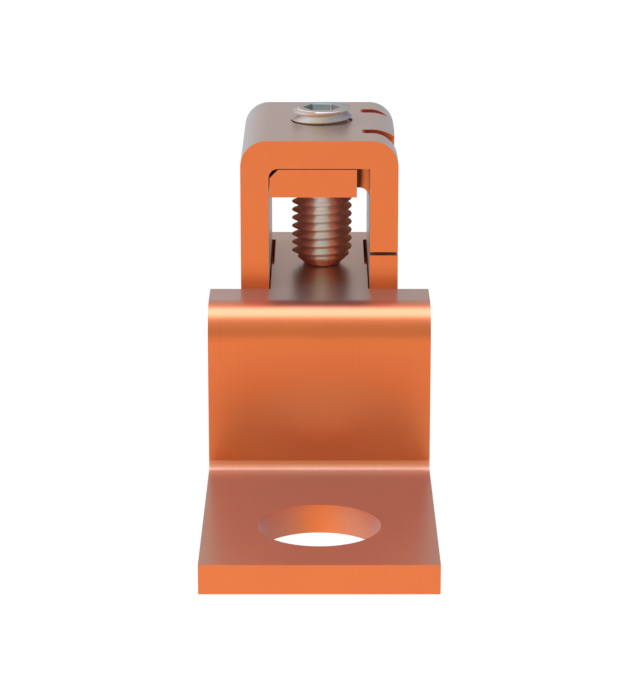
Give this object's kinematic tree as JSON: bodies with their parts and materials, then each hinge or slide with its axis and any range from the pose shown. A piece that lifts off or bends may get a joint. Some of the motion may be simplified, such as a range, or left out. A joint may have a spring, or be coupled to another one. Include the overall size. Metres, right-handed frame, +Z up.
{
  "type": "mechanical lug",
  "caption": "Folded copper mechanical lug: a flat pad with a stud hole, an offset riser, and a folded collar whose socket set screw clamps a wire onto the strip below.",
  "frame": {"origin": "on the stud hole's axis, at the underside of the pad", "axes": "+Y from the pad towards the collar, along the wire; +Z up along the stud; +X to the right seen from the pad's end"},
  "size_m": [0.0126, 0.0344, 0.0207],
  "materials": {
    "copper": "bare folded copper strip, satin, faint rolling lines",
    "plated_steel": "bright zinc plate on a machined set screw"
  },
  "bodies": {
    "lug": {"tongue": "copper", "collar": "copper"},
    "screw": {"clamp_screw": "plated_steel"}
  },
  "joints": [
    {"name": "clamp_travel", "type": "slide", "parent": "lug", "child": "screw", "axis": [0, 0, 1], "range_m": [0, 0.0054]}
  ]
}
